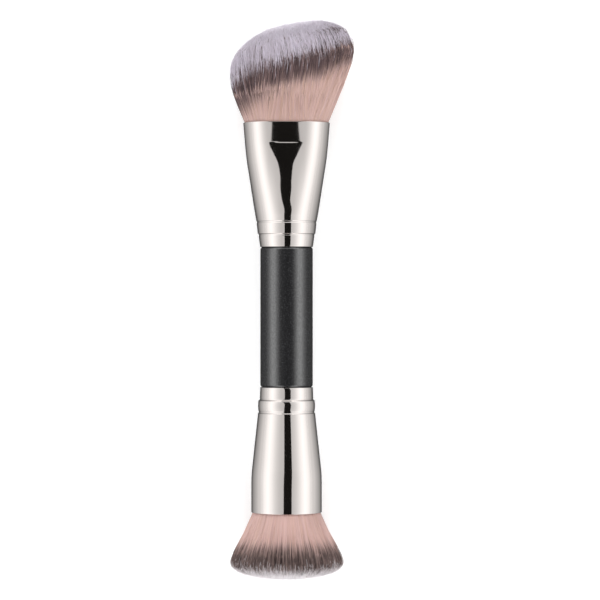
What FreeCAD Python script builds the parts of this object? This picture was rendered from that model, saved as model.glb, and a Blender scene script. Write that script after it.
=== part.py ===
import FreeCAD, Part
import math
import os
import Sketcher
from FreeCAD import Placement, Rotation, Vector

# Double ended makeup brush: a black barrel, a plated ferrule on each end, and a head of fibre in
# each ferrule. One head is oval with a slanted dome, the other is round with a flat dome.
# Every piece is drawn along +Z, with the middle of the barrel at the origin and the width of the
# oval head along X. The finished brush is then laid on its side, as it comes to rest.

document = FreeCAD.newDocument("MakeupBrush")
sheet = document.addObject("Spreadsheet::Sheet", "Sizes")

# Lengths in millimetres, angles in degrees. A width or a depth is half of the outline's. A step
# is how far a ferrule stands out from the barrel's side. A place on a ferrule is measured from
# the barrel's shoulder, and one on a head from its ferrule's mouth.
sizes = {
    "grip_length": 42.8,
    "grip_radius": 8.0,
    "grip_shoulder": 0.9,
    "spigot_length": 11.0,
    "spigot_lead": 0.7,
    "fit_gap": 0.05,
    "ferrule_wall": 0.4,
    "groove_width": 0.7,
    "groove_curve": 0.5,
    "oval_neck_step": 0.05,
    "oval_neck_end_step": 0.5,
    "oval_band_step": 0.8,
    "oval_band_end_step": 1.12,
    "oval_cone_step": 1.22,
    "oval_groove_one": 3.66,
    "oval_groove_two": 7.5,
    "oval_round_step": 1.53,
    "oval_round_at": 9.6,
    "oval_waist_width_step": 3.17,
    "oval_waist_depth_step": 1.5,
    "oval_waist_turn": 20.0,
    "oval_waist_at": 20.0,
    "oval_hip_width_step": 4.24,
    "oval_hip_depth_step": 1.35,
    "oval_hip_turn": 13.0,
    "oval_hip_at": 27.0,
    "oval_crease_width_step": 4.7,
    "oval_crease_depth_step": 0.95,
    "oval_crease_turn": 7.0,
    "oval_crease_at": 31.5,
    "oval_mouth_width_step": 5.2,
    "oval_mouth_depth_step": 1.15,
    "oval_mouth_turn": 9.0,
    "oval_mouth_at": 37.8,
    "round_neck_step": 0.03,
    "round_neck_end_step": 0.15,
    "round_bead_step": 0.55,
    "round_bead_bulge": 9.0,
    "round_cone_step": 0.72,
    "round_groove_one": 3.6,
    "round_groove_two": 7.6,
    "round_cone_end_step": 2.55,
    "round_cone_end_at": 25.0,
    "round_mouth_step": 2.75,
    "round_tube_at": 29.5,
    "round_mouth_at": 38.1,
    "glue_floor": 1.6,
    "glue_skin": 0.77,
    "binding_lead": 0.8,
    "thread_size": 1.0,
    "thread_turns": 5.0,
    "oval_belly_width": 15.5,
    "oval_belly_depth": 11.0,
    "oval_belly_shift": 0.35,
    "oval_belly_turn": 16.0,
    "oval_belly_at": 6.5,
    "oval_flank_width": 17.9,
    "oval_flank_depth": 12.2,
    "oval_flank_shift": 1.1,
    "oval_flank_turn": 21.0,
    "oval_flank_at": 12.5,
    "oval_head_width": 19.2,
    "oval_head_depth": 12.9,
    "oval_head_shift": 1.8,
    "oval_head_turn": 24.0,
    "oval_head_at": 17.8,
    "oval_head_slant": 11.8,
    "oval_head_dome": 12.3,
    "oval_low_fullness": 2.0,
    "oval_high_fullness": 3.0,
    "oval_side_fullness": 2.6,
    "round_belly_radius": 13.65,
    "round_belly_at": 7.3,
    "round_flank_radius": 16.4,
    "round_flank_at": 13.0,
    "round_head_radius": 17.05,
    "round_head_at": 15.4,
    "round_head_dome": 4.9,
    "round_fullness": 2.2,
    "round_turn": 30.0,
    "lock_count": 36.0,
    "furrow_depth": 0.35,
}

for row, (alias, size) in enumerate(sizes.items(), start=1):
    sheet.set(f"A{row}", alias)
    sheet.set(f"B{row}", str(size))
    sheet.setAlias(f"B{row}", alias)
document.recompute()

# Heights of the outlines over a dome, as shares of it, and how deep the furrows are from the root
# up to the last of those outlines, as shares of their full depth.
dome_levels = (0, 0.3, 0.55, 0.75, 0.88, 0.96, 0.99)
furrow_shares = (0, 0, 0.6, 1, 1, 1, 1, 0.9, 0.8, 0.6, 0.4, 0.2)
samples_per_step = 8


def number(text):
    """The value that an expression has now."""
    found = sheet.evalExpression(text)
    return float(getattr(found, "Value", found))


def from_shoulder(distance):
    """Height of a place that is given from the barrel's shoulder."""
    return f"(Sizes.grip_length / 2 + {distance})"


def beyond_side(step):
    """Radius of a wall that stands out from the barrel's side by a step."""
    return f"(Sizes.grip_radius + Sizes.{step})"


def root_radius(end):
    """Radius of the tied root, which leaves room in its ferrule for the thread and the glue."""
    cone = beyond_side(f"{end}_cone_step")
    wall = "Sizes.ferrule_wall + Sizes.fit_gap + Sizes.glue_skin + Sizes.thread_size"
    return f"({cone} - ({wall}))"


spigot_end = from_shoulder("Sizes.spigot_length")
root_foot = f"({spigot_end} + Sizes.glue_floor)"
binding_start = f"({root_foot} + Sizes.binding_lead)"
binding_end = f"({binding_start} + Sizes.thread_turns * Sizes.thread_size)"


def tie_corner(sketch, kind, edge, end, text, size):
    """Hold one coordinate of a corner to its expression."""
    tie = sketch.addConstraint(Sketcher.Constraint(kind, -1, 1, edge, end, size))
    sketch.setExpression(f"Constraints[{tie}]", text)


def arc_between(start, finish, size):
    """An arc that bulges to the right of its way when size is positive, else to the left."""
    chord = finish - start
    rise = math.copysign(math.sqrt(size**2 - chord.Length**2 / 4), size)
    centre = (start + finish) / 2 + Vector(-chord.y, chord.x, 0) / chord.Length * rise
    first, last = (start, finish) if size > 0 else (finish, start)
    begin = math.atan2(first.y - centre.y, first.x - centre.x)
    stop = math.atan2(last.y - centre.y, last.x - centre.x)
    if stop < begin:
        stop += 2 * math.pi
    return Part.ArcOfCircle(Part.Circle(centre, Vector(0, 0, 1), abs(size)), begin, stop)


def closed_sketch(body, name, role, corners):
    """A closed outline, counterclockwise, in one of the body's planes, or free of any body.

    A corner holds the expressions of its two coordinates and of the radius of the edge that
    leaves it: None for a straight edge, positive to bulge outward, negative to dip inward.
    """
    if body is None:
        sketch = document.addObject("Sketcher::SketchObject", name)
    else:
        sketch = body.newObject("Sketcher::SketchObject", name)
        plane = next(plane for plane in body.Origin.OriginFeatures if plane.Role == role)
        sketch.AttachmentSupport = [(plane, "")]
        sketch.MapMode = "FlatFace"
    places = [Vector(number(across), number(up), 0) for across, up, _ in corners]
    edges = []
    ends = []
    for index, start in enumerate(places):
        finish = places[(index + 1) % len(places)]
        radius = corners[index][2]
        if radius is None:
            edges.append(Part.LineSegment(start, finish))
            ends.append((1, 2))
        else:
            edges.append(arc_between(start, finish, number(radius)))
            ends.append((1, 2) if number(radius) > 0 else (2, 1))
    sketch.addGeometry(edges, False)
    for index, (across, up, radius) in enumerate(corners):
        following = (index + 1) % len(corners)
        leaving, arriving = ends[index]
        joint = Sketcher.Constraint("Coincident", index, arriving, following, ends[following][0])
        sketch.addConstraint(joint)
        tie_corner(sketch, "DistanceX", index, leaving, across, places[index].x)
        tie_corner(sketch, "DistanceY", index, leaving, up, places[index].y)
        if radius is not None:
            bend = sketch.addConstraint(Sketcher.Constraint("Radius", index, abs(number(radius))))
            sketch.setExpression(f"Constraints[{bend}]", f"abs({radius})")
    document.recompute()
    return sketch


def turned(name, corners):
    """A body turned about Z from a half outline of radius, height and edge radius."""
    body = document.addObject("PartDesign::Body", name)
    outline = closed_sketch(body, name + "_outline", "XZ_Plane", corners)
    turning = body.newObject("PartDesign::Revolution", name + "_turning")
    turning.Profile = outline
    turning.ReferenceAxis = (outline, ["V_Axis"])
    turning.Angle = 360
    document.recompute()
    return body


def oval(body, name, width, depth, turn, height, shift="0", slant="0"):
    """An outline of four tangent arcs at a height, moved along X and slanted about Y.

    The flat arcs at the front and back meet the end arcs where the outline has turned by the
    given angle, and both radii follow from the half width, the half depth and that angle.
    """
    share = f"(cos({turn}) + sin({turn}) - 1)"
    flat = f"(({width}) * cos({turn}) - ({depth}) * (1 - sin({turn}))) / {share}"
    end = f"(({depth}) * sin({turn}) - ({width}) * (1 - cos({turn}))) / {share}"
    across = f"({flat}) * sin({turn})"
    up = f"({end}) * cos({turn})"
    corners = [
        (across, up, flat),
        (f"-({across})", up, end),
        (f"-({across})", f"-({up})", flat),
        (across, f"-({up})", end),
    ]
    sketch = closed_sketch(body, name, "XY_Plane", corners)
    lean = Rotation(Vector(0, 1, 0), -number(slant))
    place = "Placement" if body is None else "AttachmentOffset"
    setattr(sketch, place, Placement(Vector(number(shift), 0, number(height)), lean))
    sketch.setExpression(f"{place}.Base.x", shift)
    sketch.setExpression(f"{place}.Base.z", height)
    document.recompute()
    return sketch


def lofted(body, name, sections, straight=False):
    """A skin over the sections, smooth or with straight sides."""
    skin = body.newObject("PartDesign::AdditiveLoft", name)
    skin.Profile = sections[0]
    skin.Sections = sections[1:]
    skin.Ruled = straight
    document.recompute()
    return skin


def cut_away(name, base, tool):
    cut = document.addObject("Part::Cut", name)
    cut.Base = base
    cut.Tool = tool
    document.recompute()
    return cut


def disc(name, radius, height, bottom):
    cylinder = document.addObject("Part::Cylinder", name)
    cylinder.setExpression("Radius", radius)
    cylinder.setExpression("Height", height)
    cylinder.setExpression("Placement.Base.z", bottom)
    return cylinder


def make_handle():
    """The barrel with its rounded shoulders, and a spigot with a tapered lead at each end."""
    flank = "(Sizes.grip_length / 2 - Sizes.grip_shoulder)"
    lead = f"({spigot_end} - Sizes.spigot_lead)"

    def spigot(end):
        return f"({beyond_side(end + '_neck_step')} - Sizes.ferrule_wall - Sizes.fit_gap)"

    def foot(end):
        reach = f"({spigot(end)} - Sizes.grip_radius + Sizes.grip_shoulder)"
        return f"({flank} + sqrt(Sizes.grip_shoulder^2 - {reach}^2))"

    corners = [
        ("0", f"-{spigot_end}", None),
        (f"{spigot('round')} - Sizes.spigot_lead", f"-{spigot_end}", None),
        (spigot("round"), f"-{lead}", None),
        (spigot("round"), f"-{foot('round')}", "Sizes.grip_shoulder"),
        ("Sizes.grip_radius", f"-{flank}", None),
        ("Sizes.grip_radius", flank, "Sizes.grip_shoulder"),
        (spigot("oval"), foot("oval"), None),
        (spigot("oval"), lead, None),
        (f"{spigot('oval')} - Sizes.spigot_lead", spigot_end, None),
        ("0", spigot_end, None),
    ]
    return turned("handle", corners)


def wall_corner(radius, distance, inset, bend=None):
    """A corner of a ferrule's outline, drawn in from its outer face by the inset."""
    return (f"{radius} - {inset}", from_shoulder(distance), bend)


def ferrule_section(body, name, place, inset):
    """The oval ferrule's outline at one of its named places."""
    return oval(
        body,
        f"{name}_{place}",
        f"{beyond_side(f'oval_{place}_width_step')} - {inset}",
        f"{beyond_side(f'oval_{place}_depth_step')} - {inset}",
        f"Sizes.oval_{place}_turn",
        from_shoulder(f"Sizes.oval_{place}_at"),
    )


def oval_form(name, inset):
    """The solid form of the oval ferrule: two bands, a cone that flattens, and a lip."""
    half = "Sizes.groove_width / 2"
    dip = "-Sizes.groove_curve"
    base = from_shoulder("Sizes.oval_round_at")
    corners = [
        ("0", from_shoulder("0"), None),
        wall_corner(beyond_side("oval_neck_step"), "0", inset),
        wall_corner(beyond_side("oval_neck_end_step"), f"Sizes.oval_groove_one - {half}", inset, dip),
        wall_corner(beyond_side("oval_band_step"), f"Sizes.oval_groove_one + {half}", inset),
        wall_corner(beyond_side("oval_band_end_step"), f"Sizes.oval_groove_two - {half}", inset, dip),
        wall_corner(beyond_side("oval_cone_step"), f"Sizes.oval_groove_two + {half}", inset),
        wall_corner(beyond_side("oval_round_step"), "Sizes.oval_round_at", inset),
        ("0", base, None),
    ]
    body = turned(name, corners)
    radius = f"{beyond_side('oval_round_step')} - {inset}"
    sections = [oval(body, name + "_round", radius, radius, "Sizes.oval_waist_turn", base)]
    for place in ("waist", "hip", "crease"):
        sections.append(ferrule_section(body, name, place, inset))
    lofted(body, name + "_cone", sections)
    crease = ferrule_section(body, name + "_lip", "crease", inset)
    mouth = ferrule_section(body, name, "mouth", inset)
    lofted(body, name + "_lip", [crease, mouth], straight=True)
    return body


def round_form(name, inset):
    """The solid form of the round ferrule: a neck, a bead, and a cone that ends in a tube."""
    half = "Sizes.groove_width / 2"
    dip = "-Sizes.groove_curve"
    rise = "(Sizes.round_tube_at - Sizes.round_cone_end_at)"
    step = "(Sizes.round_mouth_step - Sizes.round_cone_end_step)"
    bead = beyond_side("round_bead_step")
    tube = beyond_side("round_mouth_step")
    corners = [
        ("0", from_shoulder("0"), None),
        wall_corner(beyond_side("round_neck_step"), "0", inset),
        wall_corner(beyond_side("round_neck_end_step"), f"Sizes.round_groove_one - {half}", inset, dip),
        wall_corner(bead, f"Sizes.round_groove_one + {half}", inset, "Sizes.round_bead_bulge"),
        wall_corner(bead, f"Sizes.round_groove_two - {half}", inset, dip),
        wall_corner(beyond_side("round_cone_step"), f"Sizes.round_groove_two + {half}", inset),
        wall_corner(
            beyond_side("round_cone_end_step"),
            "Sizes.round_cone_end_at",
            inset,
            f"({rise}^2 + {step}^2) / (2 * {step})",
        ),
        wall_corner(tube, "Sizes.round_tube_at", inset),
        wall_corner(tube, "Sizes.round_mouth_at", inset),
        ("0", from_shoulder("Sizes.round_mouth_at"), None),
    ]
    return turned(name, corners)


def make_ferrule(name, form):
    """A thin drawn shell, open at both ends."""
    outside = form(name + "_outside", "0")
    inside = form(name + "_inside", "Sizes.ferrule_wall")
    return cut_away(name, outside, inside)


def make_binding(name, end):
    """Turns of thread wound side by side round the tied root."""
    crest = f"{root_radius(end)} + Sizes.thread_size / 2"
    turns = round(number("Sizes.thread_turns"))
    corners = [(root_radius(end), binding_start, None)]
    for turn in range(turns):
        valley = f"{binding_start} + {turn} * Sizes.thread_size"
        corners.append((crest, valley, "Sizes.thread_size * 0.51"))
    corners.append((crest, binding_end, None))
    corners.append((root_radius(end), binding_end, None))
    return turned(name, corners)


def make_glue(name, end, form):
    """Hardened glue between the spigot, the wall and the bound root, up to the thread's end."""
    cavity = form(name + "_cavity", "(Sizes.ferrule_wall + Sizes.fit_gap)")
    height = f"{binding_end} - {spigot_end}"
    slab = disc(name + "_slab", "Sizes.grip_radius * 2", height, spigot_end)
    filled = document.addObject("Part::MultiCommon", name + "_filled")
    filled.Shapes = [cavity, slab]
    document.recompute()
    bore = f"{root_radius(end)} + Sizes.thread_size"
    socket = disc(name + "_socket", bore, "Sizes.grip_length", root_foot)
    return cut_away(name, filled, socket)


def head_section(name, head, place, slant_share):
    """A slanted outline of a head at one of its named places."""
    return oval(
        None,
        f"{name}_{place}",
        head(place, "width"),
        head(place, "depth"),
        head(place, "turn"),
        f"{head('mouth', 'height')} + {head(place, 'at')}",
        head(place, "shift"),
        f"{head('head', 'slant')} * {slant_share}",
    )


def dome_section(name, head, level):
    """An outline of a head's dome, at a share of its height.

    On each side the outline draws in by (1 - level^n)^(1/n), with that side's fullness n.
    """

    def drawn_in(side):
        fullness = head(side, "fullness")
        return f"(1 - {level}^{fullness})^(1 / {fullness})"

    slant = head("head", "slant")
    along = f"({head('head', 'width')} * ({drawn_in('high')} - {drawn_in('low')}) / 2)"
    rise = f"({head('head', 'dome')} * {level})"
    mouth = head("mouth", "height")
    return oval(
        None,
        f"{name}_dome_{round(level * 1000)}",
        f"{head('head', 'width')} * ({drawn_in('high')} + {drawn_in('low')}) / 2",
        f"{head('head', 'depth')} * {drawn_in('side')}",
        head("head", "turn"),
        f"{mouth} + {head('head', 'at')} + {along} * sin({slant}) + {rise} * cos({slant})",
        f"{head('head', 'shift')} + {along} * cos({slant}) - {rise} * sin({slant})",
        slant,
    )


def lock_outline(section, share):
    """A section's outline drawn as a row of scallops, one for each lock of fibre.

    The crests lie on the outline, and the furrows between them are sunk toward its middle. The
    row starts at the back of the outline, so that every furrow runs straight up the head.
    """
    count = round(number("Sizes.lock_count"))
    depth = number("Sizes.furrow_depth") * share
    steps = 2 * count * samples_per_step
    fine = section.Shape.Wires[0].discretize(Number=steps + 1)[:steps]
    back = max(range(steps), key=lambda index: fine[index].y)
    places = (fine[back:] + fine[:back])[::samples_per_step]
    middle = sum(places, Vector()) / len(places)
    sunk = [place - (place - middle).normalize() * depth for place in places]
    edges = []
    for crest in range(1, 2 * count, 2):
        after = (crest + 1) % (2 * count)
        edges.append(Part.Arc(sunk[crest - 1], places[crest], sunk[after]).toShape())
    return Part.Wire(edges)


def make_bristles(name, end, head):
    """Tied fibre: a round root, a spread inside the ferrule, and the head that stands free."""
    turn = head("mouth", "turn")
    root = root_radius(end)
    foot = oval(None, name + "_foot", root, root, turn, root_foot)
    tied = oval(None, name + "_tied", root, root, turn, binding_end)
    rim = (head("mouth", "width"), head("mouth", "depth"), turn, head("mouth", "height"))
    mouth = oval(None, name + "_mouth", *rim)
    belly = head_section(name, head, "belly", "1 / 3")
    flank = head_section(name, head, "flank", "2 / 3")
    dome = [dome_section(name, head, level) for level in dome_levels]
    sections = [foot, tied, mouth, belly, flank] + dome
    outlines = [lock_outline(section, share) for section, share in zip(sections, furrow_shares)]
    bristles = document.addObject("Part::Feature", name)
    bristles.Shape = Part.makeLoft(outlines, True, True)
    return bristles


def oval_head(place, size):
    """Expression for one size of the oval head."""
    inset = "Sizes.ferrule_wall - Sizes.fit_gap"
    if place == "mouth" and size == "height":
        return from_shoulder("Sizes.oval_mouth_at")
    if place == "mouth" and size != "turn":
        return f"({beyond_side(f'oval_mouth_{size}_step')} - {inset})"
    return f"Sizes.oval_{place}_{size}"


def round_head(place, size):
    """Expression for one size of the round head."""
    fixed = {"turn": "Sizes.round_turn", "fullness": "Sizes.round_fullness"}
    fixed.update(shift="0", slant="0")
    inset = "Sizes.ferrule_wall - Sizes.fit_gap"
    if size in fixed:
        return fixed[size]
    if size == "height":
        return from_shoulder("Sizes.round_mouth_at")
    if place == "mouth":
        return f"({beyond_side('round_mouth_step')} - {inset})"
    if size in ("width", "depth"):
        return f"Sizes.round_{place}_radius"
    return f"Sizes.round_{place}_{size}"


pieces = {"handle": make_handle()}
ends = {"oval": (oval_form, oval_head), "round": (round_form, round_head)}
for end, (form, head) in ends.items():
    pieces[f"{end}_ferrule"] = make_ferrule(f"{end}_ferrule", form)
    pieces[f"{end}_glue_plug"] = make_glue(f"{end}_glue_plug", end, form)
    pieces[f"{end}_root_binding"] = make_binding(f"{end}_root_binding", end)
    pieces[f"{end}_bristles"] = make_bristles(f"{end}_bristles", end, head)
document.recompute()

for item in document.Objects:
    if "Invalid" in item.State or "Error" in item.State:
        raise RuntimeError(f"{item.Name} is {item.State}")
for label, piece in pieces.items():
    if piece.Shape.isNull() or not piece.Shape.isValid() or len(piece.Shape.Solids) != 1:
        raise RuntimeError(f"{label} isn't one valid solid")

# At rest the rim of the round head and the flat side of the oval head both touch the surface,
# so the axis leans by the difference of their depths over the distance between them.
oval_reach = number(from_shoulder("Sizes.oval_mouth_at + Sizes.oval_head_at"))
round_reach = number(from_shoulder("Sizes.round_mouth_at + Sizes.round_head_at"))
step = number("Sizes.round_head_radius - Sizes.oval_head_depth")
lean = math.degrees(math.atan2(step, oval_reach + round_reach))
laid = Rotation(Vector(1, 0, 0), -90 - lean)
turned_over = Rotation(Vector(1, 0, 0), 180)
turns = {label: laid * turned_over if "round" in label else laid for label in pieces}
box = FreeCAD.BoundBox()
for label, piece in pieces.items():
    turned_piece = piece.Shape.copy()
    turned_piece.Placement = Placement(Vector(), turns[label])
    box.add(turned_piece.optimalBoundingBox())
seat = Vector(-box.Center.x, -box.Center.y, -box.ZMin)
for label, piece in pieces.items():
    piece.Placement = Placement(seat, turns[label])
    piece.Label = label

os.makedirs("parts", exist_ok=True)
for label, piece in pieces.items():
    piece.Shape.exportStep(f"parts/{label}.step")
    print(label, round(piece.Shape.Volume, 1), "mm3")
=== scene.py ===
import math
import bpy
import numpy as np
from mathutils import Matrix, Vector


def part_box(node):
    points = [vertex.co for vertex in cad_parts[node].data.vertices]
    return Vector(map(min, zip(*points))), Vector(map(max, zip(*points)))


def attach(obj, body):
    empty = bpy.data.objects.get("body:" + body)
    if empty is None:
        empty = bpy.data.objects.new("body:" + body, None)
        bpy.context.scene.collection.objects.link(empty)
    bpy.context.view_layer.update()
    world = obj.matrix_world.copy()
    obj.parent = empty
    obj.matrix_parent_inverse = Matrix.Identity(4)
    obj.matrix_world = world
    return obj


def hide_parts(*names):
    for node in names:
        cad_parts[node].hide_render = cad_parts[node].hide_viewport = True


# Double ended makeup brush. The sizes of its pieces are in millimetres on the upright brush, as in
# the part: x across the oval head, y from front to back, z from the barrel's middle to a head.

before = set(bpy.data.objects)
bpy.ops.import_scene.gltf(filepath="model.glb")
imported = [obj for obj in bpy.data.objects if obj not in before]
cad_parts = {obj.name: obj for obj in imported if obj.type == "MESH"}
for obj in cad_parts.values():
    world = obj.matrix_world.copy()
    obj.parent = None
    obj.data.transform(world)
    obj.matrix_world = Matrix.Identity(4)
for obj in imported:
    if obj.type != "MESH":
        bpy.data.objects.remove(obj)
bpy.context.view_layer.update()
print("frame loaded:", ", ".join(sorted(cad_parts)))

mm = 0.001
lowest, highest = (np.array(corner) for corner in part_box("handle"))
gripCentre = (lowest + highest) / 2


def laid(points, turnedOver=False):
    # Millimetres on the brush to metres in the frame: x stays, y becomes z cos(lean) - y sin(lean),
    # and z becomes -y cos(lean) - z sin(lean). The round end is first turned over about x. The lean
    # is worked out under the sizes of the two heads.
    points = np.asarray(points, float)
    x, y, z = points[..., 0], points[..., 1], points[..., 2]
    if turnedOver:
        y, z = -y, -z
    along = z * math.cos(lean) - y * math.sin(lean)
    up = -y * math.cos(lean) - z * math.sin(lean)
    return gripCentre + mm * np.stack([x, along, up], axis=-1)


def addPiece(name, points, faceSets, look, uv=None):
    # A mesh from whole arrays: points in metres, and one array of faces for each number of corners.
    mesh = bpy.data.meshes.new(name)
    loops = np.concatenate([faces.ravel() for faces in faceSets]).astype(np.int32)
    corners = np.concatenate([np.full(len(faces), faces.shape[1]) for faces in faceSets])
    starts = np.concatenate([[0], np.cumsum(corners)[:-1]]).astype(np.int32)
    mesh.vertices.add(len(points))
    mesh.vertices.foreach_set("co", points.astype(np.float32).ravel())
    mesh.loops.add(len(loops))
    mesh.loops.foreach_set("vertex_index", loops)
    mesh.polygons.add(len(starts))
    mesh.polygons.foreach_set("loop_start", starts)
    mesh.polygons.foreach_set("use_smooth", np.ones(len(starts), bool))
    if uv is not None:
        layer = mesh.uv_layers.new(name="OFBake")
        layer.data.foreach_set("uv", uv[loops].astype(np.float32).ravel())
    mesh.update(calc_edges=True)
    mesh.validate()
    mesh.materials.append(look)
    piece = bpy.data.objects.new(name, mesh)
    bpy.context.scene.collection.objects.link(piece)
    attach(piece, "root")
    print("piece", name, "triangles", int((corners - 2).sum()))
    return piece


def ringFaces(rows, columns, closed=False):
    # Cell (i, j) joins points j and j + 1 of row i to the same two of row i + 1; columns wrap round.
    i = np.arange(rows if closed else rows - 1)[:, None]
    j = np.arange(columns)[None, :]
    nextRow, nextColumn = (i + 1) % rows, (j + 1) % columns
    cell = [i * columns + j, i * columns + nextColumn]
    cell += [nextRow * columns + nextColumn, nextRow * columns + j]
    return np.stack(cell, axis=-1).reshape(-1, 4)


def poleFaces(rows, columns):
    # Triangles from the first row to a pole under it, and from the last row to a pole over it.
    j = np.arange(columns)
    after = (j + 1) % columns
    last = (rows - 1) * columns
    under = np.stack([after, j, np.full(columns, rows * columns)], axis=-1)
    over = np.stack([last + j, last + after, np.full(columns, rows * columns + 1)], axis=-1)
    return np.concatenate([under, over])


def ovalPoints(width, depth, turn, angle):
    # Four tangent arcs by the angle a of their normal. With t the turn and k = cos t + sin t - 1,
    # the flat radius is (w cos t - d (1 - sin t)) / k and the end radius (d sin t - w (1 - cos t)) / k.
    cosTurn, sinTurn = np.cos(np.radians(turn)), np.sin(np.radians(turn))
    share = cosTurn + sinTurn - 1
    flat = (width * cosTurn - depth * (1 - sinTurn)) / share
    end = (depth * sinTurn - width * (1 - cosTurn)) / share
    onFlat = np.abs(np.cos(angle)) < sinTurn
    x = np.where(onFlat, flat * np.cos(angle), np.sign(np.cos(angle)) * (width - end) + end * np.cos(angle))
    y = np.where(onFlat, np.sign(np.sin(angle)) * (depth - flat) + flat * np.sin(angle), end * np.sin(angle))
    return x, y


def bentEdge(start, finish, bend, count):
    # Points of a circle from start to finish: its centre is the chord's middle plus the chord's
    # normal times sqrt(bend^2 - chord^2 / 4), and a negative bend dips towards the axis.
    start, finish = np.array(start, float), np.array(finish, float)
    chord = finish - start
    length = np.hypot(*chord)
    normal = np.array([-chord[1], chord[0]]) / length * math.copysign(1, bend)
    centre = (start + finish) / 2 + normal * math.sqrt(bend**2 - length**2 / 4)
    first = math.atan2(*(start - centre)[::-1])
    sweep = (math.atan2(*(finish - centre)[::-1]) - first + math.pi) % (2 * math.pi) - math.pi
    angle = first + sweep * np.linspace(0, 1, count)
    return centre + abs(bend) * np.stack([np.cos(angle), np.sin(angle)], axis=-1)


def outlinePoints(corners, spacing=1.2, support=0.05, bentSpacing=0.4, fewest=10):
    # The outline as (radius, height) points: an edge is straight, or bent by its third value, and a
    # straight one has a point close to each of its ends, which keeps its shading flat.
    found = []
    for (radius, height, bend), (nextRadius, nextHeight, _) in zip(corners, corners[1:]):
        start, finish = np.array([radius, height]), np.array([nextRadius, nextHeight])
        length = np.hypot(*(finish - start))
        if bend is None:
            inner = np.linspace(support, length - support, max(2, int(length / spacing) + 1))
            steps = np.concatenate([[0], inner, [length]]) / length
            found.append(start + steps[:-1, None] * (finish - start))
        else:
            found.append(bentEdge(start, finish, bend, max(fewest, int(length / bentSpacing)))[:-1])
    found.append(np.array([corners[-1][:2]]))
    return np.concatenate(found)


def smoothThrough(places, values, at):
    # Cubic between given values, with the slope at each from its two neighbours.
    places, values, at = np.asarray(places, float), np.asarray(values, float), np.asarray(at, float)
    slopes = np.gradient(values, places)
    cell = np.clip(np.searchsorted(places, at) - 1, 0, len(places) - 2)
    gap = places[cell + 1] - places[cell]
    t = (at - places[cell]) / gap
    return (
        (2 * t**3 - 3 * t**2 + 1) * values[cell]
        + (t**3 - 2 * t**2 + t) * gap * slopes[cell]
        + (3 * t**2 - 2 * t**3) * values[cell + 1]
        + (t**3 - t**2) * gap * slopes[cell + 1]
    )


def tone(red, green, blue):
    # A screen colour of 0 to 255 as a linear one, by ((c + 0.055) / 1.055) ** 2.4.
    linear = [((c / 255 + 0.055) / 1.055) ** 2.4 for c in (red, green, blue)]
    return (*linear, 1.0)


def emptyMaterial(name):
    look = bpy.data.materials.new(name)
    look.use_nodes = True
    tree = look.node_tree
    tree.nodes.clear()
    return look, tree, tree.nodes.new("ShaderNodeOutputMaterial")


def newMaterial(name, kind="BsdfPrincipled"):
    look, tree, output = emptyMaterial(name)
    shader = tree.nodes.new("ShaderNode" + kind)
    tree.links.new(shader.outputs[0], output.inputs[0])
    return look, tree, shader


def feed(tree, socket, value):
    # A number or a colour is set on the socket itself, and another node's output is linked to it.
    if isinstance(value, (int, float, tuple)):
        socket.default_value = value
    else:
        tree.links.new(value, socket)


def mathNode(tree, operation, *values):
    node = tree.nodes.new("ShaderNodeMath")
    node.operation = operation
    for socket, value in zip(node.inputs, values):
        feed(tree, socket, value)
    return node.outputs[0]


def mixColours(tree, factor, first, second, blend="MIX"):
    node = tree.nodes.new("ShaderNodeMix")
    node.data_type = "RGBA"
    node.blend_type = blend
    for socket, value in ((node.inputs[0], factor), (node.inputs[6], first), (node.inputs[7], second)):
        feed(tree, socket, value)
    return node.outputs[2]


def noiseNode(tree, vector, scale, detail, roughness):
    node = tree.nodes.new("ShaderNodeTexNoise")
    node.inputs["Detail"].default_value = detail
    node.inputs["Roughness"].default_value = roughness
    feed(tree, node.inputs["Scale"], scale)
    tree.links.new(vector, node.inputs["Vector"])
    return node.outputs[0]


def rangeNode(tree, value, fromRange, toRange, smooth=False):
    node = tree.nodes.new("ShaderNodeMapRange")
    node.interpolation_type = "SMOOTHSTEP" if smooth else "LINEAR"
    for socket, given in zip(node.inputs[:5], (value, *fromRange, *toRange)):
        feed(tree, socket, given)
    return node.outputs[0]


def rampNode(tree, value, steps):
    # Greys between steps of (place, level).
    node = tree.nodes.new("ShaderNodeValToRGB")
    ramp = node.color_ramp
    while len(ramp.elements) < len(steps):
        ramp.elements.new(1.0)
    for element, (place, level) in zip(ramp.elements, steps):
        element.position = place
        element.color = (level, level, level, 1.0)
    tree.links.new(value, node.inputs[0])
    return node.outputs[0]


def makeSockets(group, way, kind, names):
    for name in names:
        group.interface.new_socket(name=name, in_out=way, socket_type="NodeSocket" + kind)


grain = {
    "fineDetail": 3.0,
    "fineRoughness": 0.6,
    "broadShare": 0.04,              # of the scale, for the mottle
    "broadDetail": 2.0,
    "broadRoughness": 0.5,
}
unit = (0.0, 1.0)
usualNoise = (0.3, 0.7)              # where most of a noise's values are


def makeGrain():
    # Fine grain for moulded and plated surfaces: a height from one noise, and a soft mottle mask
    # from a much broader one.
    group = bpy.data.node_groups.new("fineGrain", "ShaderNodeTree")
    makeSockets(group, "INPUT", "Float", ["Scale"])
    makeSockets(group, "OUTPUT", "Float", ["Height", "Mottle"])
    scale = group.nodes.new("NodeGroupInput").outputs["Scale"]
    outside = group.nodes.new("NodeGroupOutput")
    place = group.nodes.new("ShaderNodeTexCoord").outputs["Object"]
    fine = noiseNode(group, place, scale, grain["fineDetail"], grain["fineRoughness"])
    broadScale = mathNode(group, "MULTIPLY", scale, grain["broadShare"])
    broad = noiseNode(group, place, broadScale, grain["broadDetail"], grain["broadRoughness"])
    group.links.new(fine, outside.inputs["Height"])
    group.links.new(broad, outside.inputs["Mottle"])
    return group


fineGrain = makeGrain()


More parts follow.
